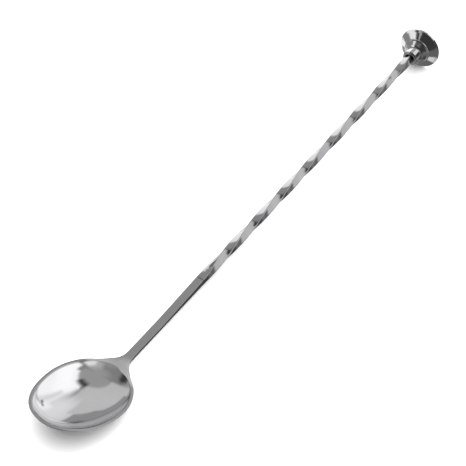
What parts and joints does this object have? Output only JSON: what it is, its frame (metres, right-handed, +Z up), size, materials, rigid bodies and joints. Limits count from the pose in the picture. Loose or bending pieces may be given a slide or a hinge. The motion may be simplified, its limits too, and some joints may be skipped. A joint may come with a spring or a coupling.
{
  "type": "bar spoon",
  "caption": "Long-handled bar spoon with an oval bowl, a flat shank, a twisted square stem and a stepped, flared muddler disc on its end.",
  "frame": {"origin": "on the surface that the spoon lies on, under the middle of its length and width", "axes": "+X along the spoon from the bowl to the muddler disc, +Z up and out of the bowl; the stem's own line rises 1.71 degrees from level towards the disc, because the disc is deeper than the bowl's heel"},
  "size_m": [0.2816, 0.033, 0.0191],
  "materials": {
    "bowl_steel": "mirror polished",
    "stem_steel": "mirror polished",
    "ferrule_steel": "polished",
    "disc_steel": "turned and polished"
  },
  "bodies": {
    "root": {"spoon_bowl": "bowl_steel", "twisted_stem": "stem_steel", "stem_ferrule": "ferrule_steel", "muddler_disc": "disc_steel"}
  },
  "joints": []
}
